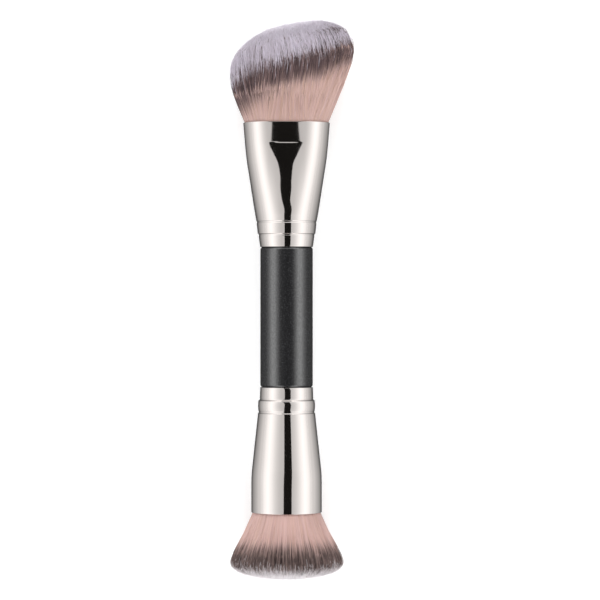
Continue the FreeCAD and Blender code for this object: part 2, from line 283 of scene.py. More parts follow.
def grainNode(tree, scale):
    node = tree.nodes.new("ShaderNodeGroup")
    node.node_tree = fineGrain
    node.inputs["Scale"].default_value = scale
    return node.outputs["Height"], node.outputs["Mottle"]


def paint(tree, shader, finish, mask, roughness):
    # The colour goes from dark to pale by the mask.
    feed(tree, shader.inputs["Base Color"], mixColours(tree, mask, finish["dark"], finish["pale"]))
    feed(tree, shader.inputs["Roughness"], roughness)


def bumpFrom(tree, height, finish, shader):
    node = tree.nodes.new("ShaderNodeBump")
    node.inputs["Strength"].default_value = finish["bump"]
    node.inputs["Distance"].default_value = finish["bumpDepth"]
    tree.links.new(height, node.inputs["Height"])
    tree.links.new(node.outputs[0], shader.inputs["Normal"])


barrelFinish = {
    "dark": tone(28, 28, 29),
    "pale": tone(64, 64, 66),
    "grain": 3000.0,
    "speckFrom": (0.5, 0.78),        # heights of the grain over which it turns pale
    "roughness": (0.22, 0.28),
    "bump": 0.8,
    "bumpDepth": 0.00003,
    "specular": 0.2,
    "coatIndex": 2.4,
    "coatRoughness": 0.24,
    # Gloss of the coat by its slant to the viewer, from square on to edge on.
    "coatSteps": [(0.0, 0.0), (0.015, 0.0), (0.03, 0.1), (0.055, 0.5), (0.1, 1.0), (0.17, 0.95),
                  (0.26, 0.45), (0.38, 0.08), (0.56, 0.0)],
    "sparkleFrom": (0.35, 0.65),     # heights of the grain over which its gloss grows
    "sparkle": (0.72, 1.15),
}


def makeBarrelLook():
    # Black lacquer with paler specks, under a coat that shines in two soft lines and sparkles.
    look, tree, shader = newMaterial("satinBlackBarrel")
    height, mottle = grainNode(tree, barrelFinish["grain"])
    speck = rangeNode(tree, height, barrelFinish["speckFrom"], unit)
    paint(tree, shader, barrelFinish, speck, rangeNode(tree, mottle, usualNoise, barrelFinish["roughness"]))
    shader.inputs["Specular IOR Level"].default_value = barrelFinish["specular"]
    slant = tree.nodes.new("ShaderNodeLayerWeight").outputs["Facing"]
    sparkle = rangeNode(tree, height, barrelFinish["sparkleFrom"], barrelFinish["sparkle"])
    gloss = mathNode(tree, "MULTIPLY", rampNode(tree, slant, barrelFinish["coatSteps"]), sparkle)
    tree.links.new(gloss, shader.inputs["Coat Weight"])
    shader.inputs["Coat IOR"].default_value = barrelFinish["coatIndex"]
    shader.inputs["Coat Roughness"].default_value = barrelFinish["coatRoughness"]
    bumpFrom(tree, height, barrelFinish, shader)
    return look


plateFinish = {
    "dark": tone(242, 235, 231),
    "pale": tone(250, 243, 239),
    "grain": 1500.0,
    "roughness": (0.045, 0.07),
    "bump": 0.02,
    "bumpDepth": 0.00001,
}


def makePlateLook():
    look, tree, shader = newMaterial("polishedNickelPlate")
    height, mottle = grainNode(tree, plateFinish["grain"])
    paint(tree, shader, plateFinish, mottle, rangeNode(tree, mottle, usualNoise, plateFinish["roughness"]))
    shader.inputs["Metallic"].default_value = 1.0
    bumpFrom(tree, height, plateFinish, shader)
    return look


glueFinish = {
    "dark": tone(206, 186, 140),
    "pale": tone(224, 208, 168),
    "grain": 900.0,
    "roughness": (0.3, 0.45),
}


def makeGlueLook():
    look, tree, shader = newMaterial("amberGlue")
    height, mottle = grainNode(tree, glueFinish["grain"])
    paint(tree, shader, glueFinish, mottle, rangeNode(tree, height, usualNoise, glueFinish["roughness"]))
    return look


threadFinish = {
    "dark": tone(188, 178, 162),
    "pale": tone(214, 206, 192),
    "grain": 2600.0,
    "roughness": 0.8,
    "bump": 0.6,
    "bumpDepth": 0.0001,
}


def makeThreadLook():
    look, tree, shader = newMaterial("bindingThread")
    height, mottle = grainNode(tree, threadFinish["grain"])
    paint(tree, shader, threadFinish, mottle, threadFinish["roughness"])
    bumpFrom(tree, height, threadFinish, shader)
    return look


grip = {
    "halfLength": 21.4,
    "radius": 8.0,
    "shoulder": 0.9,
    "spigotLength": 11.0,
    "spigotLead": 0.7,
    "ovalSpigot": 7.6,
    "roundSpigot": 7.58,
    "poleRing": 0.4,                 # radius of the last ring before each pole
    "columns": 256,
}


def makeBarrel(look):
    # The half outline turned about z: the points (r cos a, r sin a, z), with a pole at each end.
    shoulder = grip["shoulder"]
    flank = grip["halfLength"] - shoulder
    tipHeight = grip["halfLength"] + grip["spigotLength"]

    def halfOutline(spigot):
        reach = spigot - grip["radius"] + shoulder
        foot = flank + math.sqrt(shoulder**2 - reach**2)
        return [
            (grip["radius"], flank, shoulder),
            (spigot, foot, None),
            (spigot, tipHeight - grip["spigotLead"], None),
            (spigot - grip["spigotLead"], tipHeight, None),
            (grip["poleRing"], tipHeight, None),
        ]

    upper = outlinePoints([(grip["radius"], 0.0, None)] + halfOutline(grip["ovalSpigot"]))
    lower = outlinePoints([(grip["radius"], 0.0, None)] + halfOutline(grip["roundSpigot"]))
    outline = np.concatenate([(lower * (1, -1))[:0:-1], upper])
    angle = np.linspace(0, 2 * math.pi, grip["columns"], endpoint=False)
    radius, height = outline[:, :1], outline[:, 1:]
    grid = np.stack([radius * np.cos(angle), radius * np.sin(angle), height + 0 * angle], axis=-1)
    poles = np.array([[0, 0, outline[0, 1]], [0, 0, outline[-1, 1]]])
    points = np.concatenate([grid.reshape(-1, 3), poles])
    rows = len(outline)
    faceSets = [ringFaces(rows, grip["columns"]), poleFaces(rows, grip["columns"])]
    barrel = addPiece("barrel", laid(points), faceSets, look)
    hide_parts("handle")


ferrule = {
    "wall": 0.4,
    "lipRound": 0.13,
    "footRound": 0.06,
    "roundSteps": 5,
    "columns": 320,
    "grooveBend": -0.5,
}

# Bands are (radius, place, bend) and sections (place, half width, half depth, turn), with their
# places from the barrel's shoulder.
ovalFerrule = {
    "bands": [
        (8.05, 0.0, None),
        (8.5, 3.31, ferrule["grooveBend"]),
        (8.8, 4.01, None),
        (9.12, 7.15, ferrule["grooveBend"]),
        (9.22, 7.85, None),
        (9.53, 9.6, None),
    ],
    "bandSpacing": 0.5,
    "sections": [
        (7.85, 9.22, 9.22, 20.0),
        (9.6, 9.53, 9.53, 20.0),
        (20.0, 11.17, 9.5, 20.0),
        (27.0, 12.24, 9.35, 13.0),
        (31.5, 12.7, 8.95, 7.0),
    ],
    "mouth": (37.8, 13.2, 9.15, 9.0),
    "rowSpacing": 0.35,
    "creaseRows": 25,                # under the crease, and as many over it
    "creaseRowsFrom": 30.3,
    "creaseRowsBeyond": 1.2,
    "lipRows": 18,
    "lipRowsBeyond": 1.5,
    "crease": {"halfWidth": 3.75, "fade": 0.8, "depth": 0.035, "reach": 0.16},
}

roundFerrule = {
    "bands": [
        (8.03, 0.0, None),
        (8.15, 3.25, ferrule["grooveBend"]),
        (8.55, 3.95, 9.0),
        (8.55, 7.25, ferrule["grooveBend"]),
        (8.72, 7.95, None),
        (10.55, 25.0, 50.7),
        (10.75, 29.5, None),
        (10.75, 38.1, None),
    ],
    "bandSpacing": 0.7,
    "turn": 30.0,
}


def makeShell(name, sections, node, turnedOver, look, crease=None):
    # A thin shell from rows of (height, half width, half depth, turn): each row is the four-arc oval,
    # up the outside, over a rounded lip, down the inside, and round the foot to close. The crease is
    # a dip in the flat front and back, depth exp(-(rise / reach)^2), which fades out at its ends.
    wall = ferrule["wall"]
    height, width, depth, turn = np.array(sections).T
    quarter = np.linspace(0, math.pi / 2, ferrule["roundSteps"])

    def lip(radius, place, sign):
        inset = np.concatenate([radius * (1 - np.cos(quarter)), wall - radius * (1 - np.cos(quarter[::-1]))])
        rise = np.concatenate([np.sin(quarter), np.sin(quarter[::-1])]) * radius
        return inset, place + sign * (rise - radius)

    topInset, topHeight = lip(ferrule["lipRound"], height[-1], 1)
    footInset, footHeight = lip(ferrule["footRound"], height[0], -1)
    outer = (height > height[0] + ferrule["footRound"]) & (height < height[-1] - ferrule["lipRound"])
    inner = np.flatnonzero(outer)[::-2]
    inset = np.concatenate([np.zeros(outer.sum()), topInset, np.full(len(inner), wall), footInset[::-1]])
    rowHeight = np.concatenate([height[outer], topHeight, height[inner], footHeight[::-1]])
    at = np.clip(rowHeight, height[0], height[-1])
    rowWidth = np.interp(at, height, width) - inset
    rowDepth = np.interp(at, height, depth) - inset
    rowTurn = np.interp(at, height, turn)
    angle = np.linspace(0, 2 * math.pi, ferrule["columns"], endpoint=False)[None, :]
    x, y = ovalPoints(rowWidth[:, None], rowDepth[:, None], rowTurn[:, None], angle)
    if crease is not None:
        across = np.clip((crease["halfWidth"] - np.abs(x)) / crease["fade"], 0, 1)
        across = across**2 * (3 - 2 * across)
        along = np.exp(-(((rowHeight[:, None] - crease["height"]) / crease["reach"]) ** 2))
        y = y - np.sign(y) * crease["depth"] * across * along * (inset[:, None] < wall / 2)
    grid = np.stack([x, y, rowHeight[:, None] + 0 * x], axis=-1)
    faces = ringFaces(len(rowHeight), ferrule["columns"], closed=True)
    shell = addPiece(name, laid(grid.reshape(-1, 3), turnedOver), [faces], look)
    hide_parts(node)


def makeOvalFerrule(look):
    # Turned bands, then sections carried smoothly from round to the creased oval, then a straight lip.
    sections, mouth = np.array(ovalFerrule["sections"]), np.array(ovalFerrule["mouth"])
    places, turned = sections[:, 0], sections[0, 3]
    creasePlace, creaseRows = places[-1], ovalFerrule["creaseRows"]
    radii, heights = outlinePoints(ovalFerrule["bands"], ovalFerrule["bandSpacing"])[:-1].T
    bands = np.stack([heights, radii, radii, turned + 0 * radii], axis=-1)
    under = np.concatenate([
        np.arange(places[1], ovalFerrule["creaseRowsFrom"], ovalFerrule["rowSpacing"]),
        np.linspace(ovalFerrule["creaseRowsFrom"], creasePlace, creaseRows),
    ])
    carried = [smoothThrough(places, known, under) for known in sections[:, 1:].T]
    beyond = np.concatenate([
        np.linspace(creasePlace, creasePlace + ovalFerrule["creaseRowsBeyond"], creaseRows)[1:],
        np.linspace(creasePlace + ovalFerrule["lipRowsBeyond"], mouth[0], ovalFerrule["lipRows"]),
    ])
    share = ((beyond - creasePlace) / (mouth[0] - creasePlace))[:, None]
    lip = sections[-1, 1:] + share * (mouth[1:] - sections[-1, 1:])
    rows = np.concatenate([bands, np.stack([under, *carried], axis=-1), np.column_stack([beyond, lip])])
    rows = np.unique(rows, axis=0)
    rows[:, 0] += grip["halfLength"]
    crease = dict(ovalFerrule["crease"], height=grip["halfLength"] + creasePlace)
    makeShell("ovalFerruleShell", rows, "oval_ferrule", False, look, crease)


def makeRoundFerrule(look):
    # Neck, bead, cone and tube, turned about z.
    radii, heights = outlinePoints(roundFerrule["bands"], roundFerrule["bandSpacing"]).T
    heights = heights + grip["halfLength"]
    rows = np.stack([heights, radii, radii, roundFerrule["turn"] + 0 * radii], axis=-1)
    makeShell("roundFerruleShell", rows, "round_ferrule", True, look)


# A head's section is (height over the mouth, half width, half depth, turn, shift, share of slant).
ovalHead = {
    "mouthHeight": 59.2,
    "sections": [
        (-5.0, 11.3, 8.26, 9.0, 0.0, 0.0),
        (0.0, 12.75, 8.7, 9.0, 0.0, 0.0),
        (6.5, 15.5, 11.0, 16.0, 0.35, 1 / 3),
        (12.5, 17.9, 12.2, 21.0, 1.1, 2 / 3),
        (17.8, 19.2, 12.9, 24.0, 1.8, 1.0),
    ],
    "slant": 11.8,
    "dome": 12.3,
    "fullness": (2.0, 3.0, 2.6),     # low side, high side, front and back
    "cupped": 0.88,                  # share of the width to which the outer fibres follow the dome
    "sideStretch": (0.2, -0.27),     # how much longer the colours are on the low and the high side
    "leastCupped": 0.5,              # share of the width at which the longest outer fibres end
    "ragged": 0.7,
    "clumpWidth": 0.16,
    "clumpShift": 0.3,               # how far a clump's colours move up or down
    "aloneShare": 0.55,              # of the fibres, those with a shade of their own
    "sunk": 1.45,                    # of the core's crown under the tips
    "seed": 11,
}

roundHead = {
    "mouthHeight": 59.5,
    "sections": [
        (-5.0, 9.55, 9.55, 30.0, 0.0, 0.0),
        (0.0, 10.3, 10.3, 30.0, 0.0, 0.0),
        (7.3, 13.65, 13.65, 30.0, 0.0, 0.0),
        (13.0, 16.4, 16.4, 30.0, 0.0, 0.0),
        (15.4, 17.05, 17.05, 30.0, 0.0, 0.0),
    ],
    "slant": 0.0,
    "dome": 4.9,
    "fullness": (2.2, 2.2, 2.2),
    "cupped": 0.88,
    "sideStretch": (0.0, 0.0),
    "leastCupped": 0.78,
    "ragged": 0.5,
    "clumpWidth": 0.22,
    "clumpShift": 0.4,
    "aloneShare": 0.35,
    "sunk": 1.05,
    "seed": 23,
}

# At rest the axis leans by the difference of the heads' depths over the distance between them.
ovalReach = ovalHead["mouthHeight"] + ovalHead["sections"][-1][0]
roundReach = roundHead["mouthHeight"] + roundHead["sections"][-1][0]
headStep = roundHead["sections"][-1][2] - ovalHead["sections"][-1][2]
lean = math.atan2(headStep, ovalReach + roundReach)

fibre = {
    "pieces": 4,
    "perPiece": 7000,
    "radius": 0.075,
    "radiusShares": (0.8, 1.2),
    # Places from the mouth, or from inside the core, to the tip.
    "outerStations": (0.0, 0.36, 0.66, 0.87, 1.0),
    "innerStations": (0.0, 0.3, 0.65, 0.95, 1.0),
    "thickness": (1.0, 1.0, 1.0, 1.0, 0.8),
    "depthStep": 0.5698402909980532,     # with the next, these fill a square evenly
    "aroundStep": 0.7548776662466927,
    "outerShare": 0.62,
    "outerDepth": 0.06,
    "outermost": 0.995,
    "outerFoot": -3.0,
    "innerCupped": (0.86, 1.0),
    "innerThickness": 1.6,
    "innerUpTo": 0.8,                # share of the width within which they start in the core
    "innerLength": 12.0,
    "innerFoot": -2.0,               # the lowest that they start
    "rootLength": 1.0,
    "scatter": 0.05,
    "clumpLean": 0.1,
    "strayLean": 0.18,
    "cutShare": 0.4,                 # of the outer fibres, those that end lower on the dome
    "cutRange": (-0.1, 1.0),         # where they end, as a share of their way over the dome
    "flyShare": 0.15,                # of all fibres, the thin ones that stand out towards their tips
    "flyOut": 0.06,                  # share of the width by which they stand out at most
    "flyUp": 1.0,
    "flyThickness": 0.55,
    # Stray fibres take colours from nearer the tip over their last part: a painted paleness for light through
    # the loose fringe at the outline.
    "flyPaintedLight": 1.5,                 # how much nearer to the tip their colours are, over the last part
    "paintedLightOver": 15.0,
    "tipRagged": 0.5,                # shares of the head's raggedness, for the tips and the colours
    "colourRagged": 0.6,
    "ownTipShare": 0.07,             # of the outer ones, those whose colours sit lower when cut
    "ownTipReach": 3.5,
    "strips": 256,
    "colourLength": 40.0,
    "corners": (0.25, 0.5, 0.75),    # where a row's three points are across their strip
}

# How the strips differ. An offset of its own for each chance keeps them apart from each other.
variety = {
    "offsets": {"Start": 0.31, "End": 7.77, "stray": 1.19, "golden": 3.19, "deep": 5.43, "tip": 6.37,
                "pale": 4.83, "shade": 9.61, "roughness": 2.07},
    "golden": (0.5, 1.0),            # chances over which the base turns golden
    "strayPower": 3.0,
    "bandInTip": (0.0, 0.3),
    # how much of the painted glow at the tip a strip gets
    "pale": (0.1, 1.0),
    "shade": (0.92, 1.03),
    "roughness": (0.45, 0.62),
    "specular": 0.3,
}

bandColours = ["Painted Glow Tip", "Tip", "Band", "Deep Band", "Base", "Golden"]
bandLengths = ["Painted Glow Length", "Start", "Start Spread", "Start Soft", "Stray", "End", "End Spread", "End Soft"]


def makeFibreBands():
    # The map's u picks a strip that fixes one fibre's own shade, and its v is the distance from the tip.
    # Over the last part of the tip some strips are painted paler, a painted glow for light through the
    # thin tips. The dark band runs from Start to End, and both edges move and soften on every strip; on a few
    # strips it starts up to Stray nearer to the tip.
    group = bpy.data.node_groups.new("fibreBands", "ShaderNodeTree")
    makeSockets(group, "INPUT", "Vector", ["Vector"])
    makeSockets(group, "INPUT", "Color", bandColours)
    makeSockets(group, "INPUT", "Float", bandLengths)
    makeSockets(group, "OUTPUT", "Color", ["Color"])
    makeSockets(group, "OUTPUT", "Float", ["Roughness"])
    given = group.nodes.new("NodeGroupInput").outputs
    outside = group.nodes.new("NodeGroupOutput")
    split = group.nodes.new("ShaderNodeSeparateXYZ")
    group.links.new(given["Vector"], split.inputs[0])
    strip = mathNode(group, "FLOOR", mathNode(group, "MULTIPLY", split.outputs[0], float(fibre["strips"])))
    distance = mathNode(group, "MULTIPLY", split.outputs[1], fibre["colourLength"])

    def chance(name):
        node = group.nodes.new("ShaderNodeTexWhiteNoise")
        node.noise_dimensions = "1D"
        group.links.new(mathNode(group, "ADD", strip, variety["offsets"][name]), node.inputs["W"])
        return node.outputs[0]

    def edge(name, stray=0.0):
        away = mathNode(group, "SUBTRACT", chance(name), 0.5)
        middle = mathNode(group, "MULTIPLY_ADD", away, given[name + " Spread"], given[name])
        middle = mathNode(group, "SUBTRACT", middle, stray)
        low = mathNode(group, "SUBTRACT", middle, given[name + " Soft"])
        high = mathNode(group, "ADD", middle, given[name + " Soft"])
        return rangeNode(group, distance, (low, high), unit, smooth=True)

    golden = rangeNode(group, chance("golden"), variety["golden"], unit)
    base = mixColours(group, golden, given["Base"], given["Golden"])
    band = mixColours(group, chance("deep"), given["Band"], given["Deep Band"])
    stray = mathNode(group, "POWER", chance("stray"), variety["strayPower"])
    stray = mathNode(group, "MULTIPLY", stray, given["Stray"])
    bandInTip = rangeNode(group, chance("tip"), unit, variety["bandInTip"])
    tip = mixColours(group, bandInTip, given["Tip"], given["Band"])
    # Painted glow: over the last part of the tip the colour turns paler, as if light shone through the thin
    # ends.
    pale = rangeNode(group, distance, (0.0, given["Painted Glow Length"]), (1.0, 0.0))
    pale = mathNode(group, "MULTIPLY", pale, rangeNode(group, chance("pale"), unit, variety["pale"]))
    tip = mixColours(group, pale, tip, given["Painted Glow Tip"])
    colour = mixColours(group, edge("Start", stray), tip, band)
    colour = mixColours(group, edge("End"), colour, base)
    shade = rangeNode(group, chance("shade"), unit, variety["shade"])
    group.links.new(mixColours(group, 1.0, colour, shade, "MULTIPLY"), outside.inputs["Color"])
    roughness = rangeNode(group, chance("roughness"), unit, variety["roughness"])
    group.links.new(roughness, outside.inputs["Roughness"])
    return group


fibreBands = makeFibreBands()

# Lengths are distances from the tip, and how far they spread and soften.
# The paler tip colour and its length paint a glow onto the last part of the tips, standing in for light
# through them.
ovalColours = {
    "Painted Glow Tip": tone(242, 237, 246),
    "Tip": tone(234, 227, 240),
    "Band": tone(137, 113, 112),
    "Deep Band": tone(58, 46, 49),
    "Base": tone(216, 184, 178),
    "Golden": tone(211, 178, 160),
    "Painted Glow Length": 1.2,
    "Start": 7.7,
    "Start Spread": 1.4,
    "Start Soft": 1.2,
    "Stray": 5.0,
    "End": 15.0,
    "End Spread": 2.4,
    "End Soft": 3.6,
}

roundColours = {
    "Painted Glow Tip": tone(253, 250, 252),
    "Tip": tone(248, 242, 246),
    "Band": tone(158, 136, 131),
    "Deep Band": tone(54, 41, 40),
    "Base": tone(220, 186, 180),
    "Golden": tone(216, 181, 167),
    "Painted Glow Length": 1.0,
    "Start": 1.6,
    "Start Spread": 2.0,
    "Start Soft": 0.3,
    "Stray": 0.4,
    "End": 8.6,
    "End Spread": 2.4,
    "End Soft": 2.8,
}


def makeFibreLook(name, colours):
    look, tree, shader = newMaterial(name)
    chart = tree.nodes.new("ShaderNodeUVMap")
    chart.uv_map = "OFBake"
    bands = tree.nodes.new("ShaderNodeGroup")
    bands.node_tree = fibreBands
    tree.links.new(chart.outputs[0], bands.inputs["Vector"])
    for socket, value in colours.items():
        bands.inputs[socket].default_value = value
    tree.links.new(bands.outputs["Color"], shader.inputs["Base Color"])
    tree.links.new(bands.outputs["Roughness"], shader.inputs["Roughness"])
    shader.inputs["Specular IOR Level"].default_value = variety["specular"]
    return look


def fullnessAt(head, angle):
    # A side's fullness by direction: the low or high side's times cos^2 plus the front's times sin^2.
    low, high, front = head["fullness"]
    side = np.where(np.cos(angle) > 0, high, low)
    return side * np.cos(angle) ** 2 + front * np.sin(angle) ** 2


def insideHead(head, share, angle, height, cupped=0.0):
    # A point at a share of the way from the middle to the outline, at a height over the mouth. Over
    # the last section the outline draws in by (1 - level^n)^(1/n) until it reaches the cupped share.
    places, widths, depths, turns, shifts, slants = np.array(head["sections"]).T
    low = np.minimum(height, places[-1])
    known = [smoothThrough(places, values, low) for values in (widths, depths, turns, shifts, slants)]
    width, depth, turn, shift, slant = known
    n = fullnessAt(head, angle)
    level = np.clip((height - places[-1]) / head["dome"], 0, 1)
    drawnIn = np.maximum((1 - level**n) ** (1 / n), cupped)
    x, y = ovalPoints(width, depth, turn, angle)
    x, y = x * share * drawnIn, y * share * drawnIn
    tilt = np.radians(head["slant"]) * slant
    above = np.maximum(height - places[-1], 0)
    return np.stack([
        shift + x * np.cos(tilt) - above * np.sin(tilt),
        y,
        head["mouthHeight"] + low + x * np.sin(tilt) + above * np.cos(tilt),
    ], axis=-1)


def tipHeight(head, share, angle):
    # Where the dome has drawn in to a share of its width: last section + dome (1 - share^n)^(1/n).
    n = fullnessAt(head, angle)
    return head["sections"][-1][0] + head["dome"] * (1 - np.minimum(share, 1) ** n) ** (1 / n)


core = {
    "columns": 192,
    "rows": 26,                      # up the side, and as many over the crown
    "foot": -4.5,
    "width": 0.9,                    # share of the head's
    "crownWidths": (0.88, 0.04),     # from its edge to the ring before the pole
    "leastRise": 0.05,
    "stripStep": 37,
    "footUv": (0.5, 0.9),
    "topUv": (0.5, 0.0),
}


def makeCore(end, head, turnedOver, look):
    # A closed form a little inside the outline, which shows only as shade between the fibres. Its
    # crown has the colour of the tips.
    columns, foot = core["columns"], core["foot"]
    angle = np.linspace(0, 2 * math.pi, columns, endpoint=False)[None, :]
    last = head["sections"][-1][0]
    side = np.linspace(foot, last, core["rows"])[:, None]
    shares = np.linspace(*core["crownWidths"], core["rows"])[:, None]
    cupped = head["cupped"]
    crown = tipHeight(head, shares / core["width"] * cupped, angle) - head["sunk"]
    crown = np.maximum(crown, last + core["leastRise"])
    flank = insideHead(head, core["width"], angle, side)
    grid = np.concatenate([flank, insideHead(head, shares, angle, crown, cupped)])
    middle = np.zeros(1)
    topHeight = tipHeight(head, middle, middle) - head["sunk"]
    poles = [insideHead(head, 0.0, middle, middle + foot), insideHead(head, 0.0, middle, topHeight)]
    points = np.concatenate([grid.reshape(-1, 3)] + poles)
    edgeTip = tipHeight(head, cupped, angle)
    fromTip = np.concatenate([edgeTip - side, 0 * crown])
    strips = (np.arange(columns) * core["stripStep"] % fibre["strips"] + 0.5) / fibre["strips"]
    uv = np.stack([strips + 0 * fromTip, fromTip / fibre["colourLength"]], axis=-1).reshape(-1, 2)
    uv = np.concatenate([uv, [core["footUv"], core["topUv"]]])
    faceSets = [ringFaces(len(grid), columns), poleFaces(len(grid), columns)]
    piece = addPiece(end + "HeadCore", laid(points, turnedOver), faceSets, look, uv)
    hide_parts(end + "_bristles")


def roundTheHead(head, steps=1441):
    # The way round the last section: its length, and the normal's angle at each place along it.
    angle = np.linspace(0, 2 * math.pi, steps)
    edge = insideHead(head, 1.0, angle, np.full(angle.shape, head["sections"][-1][0]))
    way = np.concatenate([[0], np.linalg.norm(np.diff(edge, axis=0), axis=-1).cumsum()])
    return way, angle


def evenly(start, count, step):
    # The fractions of k times an irrational step, which fill 0 to 1 more evenly than chance does.
    return (np.arange(start, start + count) * step) % 1


def needleFaces(rows):
    # Faces of a needle with three points a row: its sides, its foot and the three round its tip.
    body = ringFaces(rows, 3)
    last = (rows - 1) * 3
    tip = [[last, last + 1, rows * 3], [last + 1, last + 2, rows * 3], [last + 2, last, rows * 3]]
    return np.concatenate([body[:, [0, 1, 2]], body[:, [0, 2, 3]], [[2, 1, 0]], tip])


def needlePoints(path, radius, spin):
    # A ring is the path's place plus radius (cos b u + sin b v), with u and v square to the path and
    # b the spin and a third or two of a turn more. The path's last place is the tip.
    along = np.gradient(path, axis=0)
    along /= np.linalg.norm(along, axis=-1, keepdims=True)
    first = np.cross(along, (0.36, 0.48, 0.8))     # square to the path, whatever the direction
    first /= np.linalg.norm(first, axis=-1, keepdims=True)
    second = np.cross(along, first)
    spin = spin[None, :, None] + np.arange(3) * 2 * math.pi / 3
    ring = np.cos(spin)[..., None] * first[:-1, :, None] + np.sin(spin)[..., None] * second[:-1, :, None]
    rings = path[:-1, :, None] + radius[..., None, None] * ring
    rings = rings.transpose(1, 0, 2, 3).reshape(path.shape[1], -1, 3)
    return np.concatenate([rings, path[-1][:, None]], axis=1)


def needleChart(strip, v):
    # The map of each needle: u is within its strip, and v is given at each row and at the tip.
    corners = np.array(fibre["corners"])
    across = (strip[:, None, None] + corners + 0 * v[:, :-1, None]) / fibre["strips"]
    ringUv = np.stack([across, v[:, :-1, None] + 0 * corners], axis=-1).reshape(len(strip), -1, 2)
    tipUv = np.stack([(strip + 0.5) / fibre["strips"], v[:, -1]], axis=-1)[:, None]
    return np.concatenate([ringUv, tipUv], axis=1).reshape(-1, 2)


def makeFibres(end, head, turnedOver, look):
    # Fibre k keeps its share of the width and its place round the head all the way up, so it follows
    # the outline's flare and the dome. Fibres that start side by side form a clump, which shares its
    # lean, its shade and where its colours change. An outer fibre may be cut anywhere on the dome,
    # but its colours go by the distance from its uncut tip.
    random = np.random.default_rng(head["seed"])
    count = fibre["perPiece"]
    outerStations = np.array(fibre["outerStations"])[:, None]
    innerStations = np.array(fibre["innerStations"])[:, None]
    thickness = np.array(fibre["thickness"])
    way, wayAngle = roundTheHead(head)
    clumps = int(way[-1] / head["clumpWidth"])
    clumpShift = random.normal(0, head["clumpShift"], clumps)
    clumpShade = random.integers(0, fibre["strips"], clumps)
    clumpLean = random.normal(0, fibre["clumpLean"], clumps)
    pattern = needleFaces(len(thickness))
    pointsEach = len(thickness) * 3 + 1
    domeFoot = head["sections"][-1][0]
    for index in range(fibre["pieces"]):
        # Its share of the width, its place round the head, and how far the dome draws it in.
        outer = np.arange(count) < fibre["outerShare"] * count
        depth = evenly(index * count, count, fibre["depthStep"])
        around = evenly(index * count, count, fibre["aroundStep"])
        inner = (1 - fibre["outerDepth"]) * np.sqrt(depth)
        share = np.where(outer, fibre["outermost"] - fibre["outerDepth"] * depth, inner)
        flies = random.uniform(size=count) < fibre["flyShare"]
        out = np.where(flies & outer, fibre["flyOut"] * random.uniform(size=count) ** 2, 0)
        outerCupped = 1 - (1 - head["leastCupped"]) * random.uniform(size=count) ** 2
        cupped = np.where(outer, outerCupped, random.uniform(*fibre["innerCupped"], count))
        place = around * way[-1] + random.normal(0, fibre["scatter"], count)
        clump = (around * clumps).astype(int)
        angle = np.interp(place % way[-1], way, wayAngle)

        # Its tip and its foot, as heights over the mouth.
        fullTip = tipHeight(head, share * head["cupped"], angle)
        uneven = np.abs(random.normal(0, head["ragged"] * fibre["tipRagged"], count))
        tip = tipHeight(head, share * cupped, angle) - uneven
        cut = outer & (random.uniform(size=count) < fibre["cutShare"])
        tip = np.where(cut, domeFoot + random.uniform(*fibre["cutRange"], count) * (tip - domeFoot), tip)
        tip += np.where(flies, fibre["flyUp"] * random.uniform(size=count) ** 2, 0)
        inside = share < fibre["innerUpTo"]
        innerStart = np.maximum(tip - fibre["innerLength"], fibre["innerFoot"])
        start = np.where(inside, innerStart, fibre["outerFoot"])
        base = np.where(inside, start + fibre["rootLength"], 0.0)
        stations = np.where(outer, outerStations, innerStations)
        height = np.concatenate([start[None], base + (tip - base) * stations])

        # The needle round its path.
        aside = clumpLean[clump] + random.normal(0, fibre["strayLean"], count)
        rise = np.clip(height / tip, 0, 1) ** 2
        moved = np.interp((place + aside * rise) % way[-1], way, wayAngle)
        path = insideHead(head, share + out * rise, moved, height, cupped)
        spin = random.uniform(0, 2 * math.pi, count)
        size = fibre["radius"] * random.uniform(*fibre["radiusShares"], count)
        size *= np.where(outer, 1, fibre["innerThickness"])
        size *= np.where(flies, fibre["flyThickness"], 1)
        points = needlePoints(path, size * thickness[:, None], spin)
        world = laid(points.reshape(-1, 3), turnedOver)
        world[:, 2] = np.maximum(world[:, 2], 0)     # none reaches under the floor
        faces = (pattern[None] + np.arange(count)[:, None, None] * pointsEach).reshape(-1, 3)

        # Its colours by the distance from the uncut tip, and its own strip or its clump's.
        steps = np.linalg.norm(np.diff(path, axis=0), axis=-1)
        lower = np.where(random.uniform(size=count) < fibre["ownTipShare"], fibre["ownTipReach"], 0)
        missing = np.where(outer, np.maximum(fullTip - tip - lower, 0), 0)
        fromTip = np.concatenate([steps[::-1].cumsum(axis=0)[::-1], np.zeros((1, count))]) + missing
        sideways = np.cos(angle)
        stretch = 1 + np.where(sideways < 0, *head["sideStretch"]) * np.abs(sideways) * share
        shift = clumpShift[clump] + random.normal(0, fibre["colourRagged"] * head["ragged"], count)
        # Painted light: near their ends the stray fibres are moved to the paler tip colours.
        paintedLight = np.where(flies, fibre["flyPaintedLight"], 0) * np.clip(1 - fromTip / fibre["paintedLightOver"], 0, 1)
        v = np.clip(fromTip / stretch - shift - paintedLight, 0, None).T / fibre["colourLength"]
        alone = random.uniform(size=count) < head["aloneShare"]
        strip = np.where(alone, random.integers(0, fibre["strips"], count), clumpShade[clump])
        addPiece(f"{end}HeadFibre{index + 1}", world, [faces], look, needleChart(strip, v))


